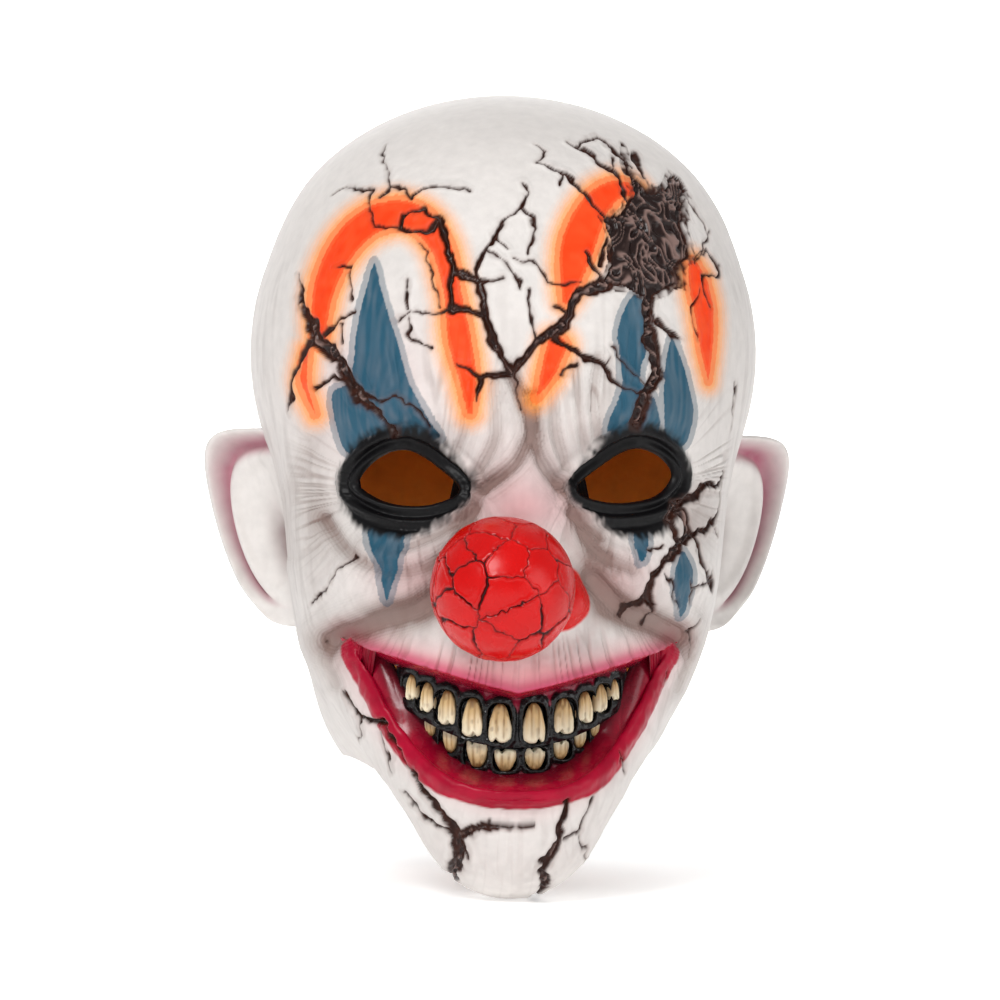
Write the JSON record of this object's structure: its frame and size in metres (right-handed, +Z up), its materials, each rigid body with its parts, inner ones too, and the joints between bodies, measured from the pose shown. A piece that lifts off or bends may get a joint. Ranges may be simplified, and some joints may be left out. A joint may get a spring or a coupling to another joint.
{
  "type": "latex halloween mask",
  "caption": "Full overhead latex clown mask with ball nose, toothed grin, glued-on ears, a rear slit with two flaps and foam fitting pads.",
  "frame": {"origin": "middle of the head cavity, level with the bridge of the nose", "axes": "+Z up through the crown, the face looks along -Y, +X towards the wearer's left ear"},
  "size_m": [0.2172, 0.2679, 0.2918],
  "materials": {
    "latex_white": "matte poured latex, painted off-white with makeup colours and dark cracks",
    "latex_red": "glossy red painted latex with dark cracks",
    "latex_crimson": "satin crimson painted latex",
    "latex_black": "wet-look black painted latex",
    "tooth_ivory": "cast resin teeth, stained ivory, satin gloss",
    "gauze": "cotton gauze soaked in latex",
    "foam": "open-cell upholstery foam"
  },
  "bodies": {
    "root": {"head_skin": "latex_white", "slit_patch": "gauze", "ear_left": "latex_white", "ear_right": "latex_white", "nose_ball": "latex_red", "nose_core": "foam", "mouth_lining": "latex_crimson", "upper_gum": "latex_black", "lower_gum": "latex_black", "forehead_pad": "foam", "crown_pad": "foam", "temple_pad_left": "foam", "temple_pad_right": "foam", "upper_tooth_1": "tooth_ivory", "upper_tooth_2": "tooth_ivory", "upper_tooth_3": "tooth_ivory", "upper_tooth_4": "tooth_ivory", "upper_tooth_5": "tooth_ivory", "upper_tooth_6": "tooth_ivory", "upper_tooth_7": "tooth_ivory", "upper_tooth_8": "tooth_ivory", "upper_tooth_9": "tooth_ivory", "upper_tooth_10": "tooth_ivory", "lower_tooth_1": "tooth_ivory", "lower_tooth_2": "tooth_ivory", "lower_tooth_3": "tooth_ivory", "lower_tooth_4": "tooth_ivory", "lower_tooth_5": "tooth_ivory", "lower_tooth_6": "tooth_ivory", "lower_tooth_7": "tooth_ivory", "lower_tooth_8": "tooth_ivory"},
    "flap_left": {"flap_left": "latex_white"},
    "flap_right": {"flap_right": "latex_white"}
  },
  "joints": [
    {"name": "flap_left_fold", "type": "hinge", "parent": "root", "child": "flap_left", "pos_m": [0.03093, 0.0934, -0.05455], "axis": [0.65, -0.2688, -0.7108], "range_deg": [0, 35], "stiffness_Nm_per_rad": 0.06},
    {"name": "flap_right_fold", "type": "hinge", "parent": "root", "child": "flap_right", "pos_m": [-0.03093, 0.0934, -0.05455], "axis": [0.65, 0.2688, 0.7108], "range_deg": [0, 35], "stiffness_Nm_per_rad": 0.06}
  ]
}
